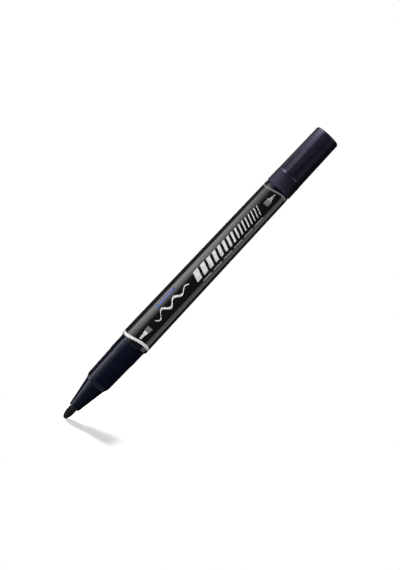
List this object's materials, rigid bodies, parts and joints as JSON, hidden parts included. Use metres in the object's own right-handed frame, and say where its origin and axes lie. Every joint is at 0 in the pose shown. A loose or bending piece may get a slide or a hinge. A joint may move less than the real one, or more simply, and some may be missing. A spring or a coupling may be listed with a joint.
{
  "type": "twin-tip permanent marker",
  "caption": "Tapered twin-tip permanent marker with an open bullet nib at the broad end and a fluted push-on cap over the fine nib.",
  "frame": {"origin": "the broad nib's writing tip, on the marker's axis", "axes": "+Z along the axis from the broad nib's tip to the cap's end; -Y is the side that faces the viewer in the picture"},
  "size_m": [0.0112, 0.0112, 0.136],
  "materials": {
    "barrel_plastic": "gloss black",
    "moulded_plastic": "satin, very dark navy",
    "cap_plastic": "satin, very dark navy",
    "seal_plastic": "natural, matt",
    "nib_felt": "felt soaked with black ink",
    "ink_fibre": "fibres soaked with black ink",
    "clear_film": "thin film",
    "sleeve_metal": "fine drawn"
  },
  "bodies": {
    "barrel": {"barrel": "barrel_plastic", "ink_reservoir": "ink_fibre", "reservoir_film": "clear_film", "broad_nose": "moulded_plastic", "broad_nib": "nib_felt", "fine_nose": "moulded_plastic", "fine_tip_sleeve": "sleeve_metal", "fine_nib": "nib_felt"},
    "cap": {"cap": "cap_plastic", "inner_cap": "seal_plastic"}
  },
  "joints": [
    {"name": "cap_pull", "type": "slide", "parent": "barrel", "child": "cap", "axis": [0, 0, 1], "range_m": [0, 0.03]}
  ]
}
